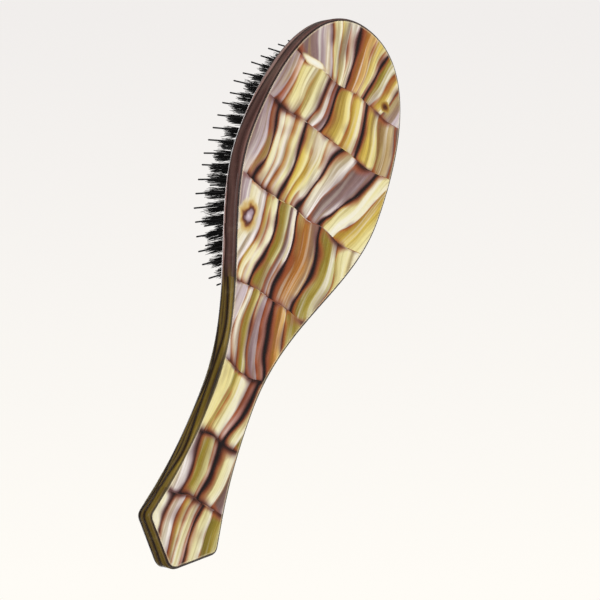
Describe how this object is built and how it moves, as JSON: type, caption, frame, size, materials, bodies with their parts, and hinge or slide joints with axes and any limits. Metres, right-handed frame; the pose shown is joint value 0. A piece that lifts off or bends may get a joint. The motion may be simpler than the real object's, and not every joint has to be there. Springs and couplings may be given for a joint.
{
  "type": "vanity hairbrush",
  "caption": "Oval cushion hairbrush with a flat resin body, flared five-sided handle end, domed rubber pad and rows of bristle tufts with longer pins.",
  "frame": {"origin": "middle of the flat back's outline, on the surface that the brush lies on with its bristles up", "axes": "+X from the handle end to the top of the head, +Z the way the bristles point, Y across the head"},
  "size_m": [0.225, 0.0736, 0.0311],
  "materials": {
    "resin": "polished tortoise-pattern acetate resin",
    "cushion_rubber": "matte black natural rubber",
    "boar_bristle": "black boar bristle with ragged natural ends",
    "nylon_pin": "satin black nylon"
  },
  "bodies": {
    "root": {"resin_body": "resin", "rubber_cushion": "cushion_rubber"},
    "bristle_field": {"tuft_row_1": "boar_bristle", "tuft_row_2": "boar_bristle", "tuft_row_3": "boar_bristle", "tuft_row_4": "boar_bristle", "tuft_row_5": "boar_bristle", "tuft_row_6": "boar_bristle", "tuft_row_7": "boar_bristle", "tuft_row_8": "boar_bristle", "tuft_row_9": "boar_bristle", "pin_row_1": "nylon_pin", "pin_row_2": "nylon_pin", "pin_row_3": "nylon_pin", "pin_row_4": "nylon_pin", "pin_row_5": "nylon_pin", "pin_row_6": "nylon_pin", "pin_row_7": "nylon_pin", "pin_row_8": "nylon_pin", "pin_row_9": "nylon_pin"}
  },
  "joints": [
    {"name": "cushion_press", "type": "slide", "parent": "root", "child": "bristle_field", "axis": [0, 0, 1], "range_m": [-0.003, 0], "stiffness_N_per_m": 1500, "deforming": ["rubber_cushion"]}
  ]
}
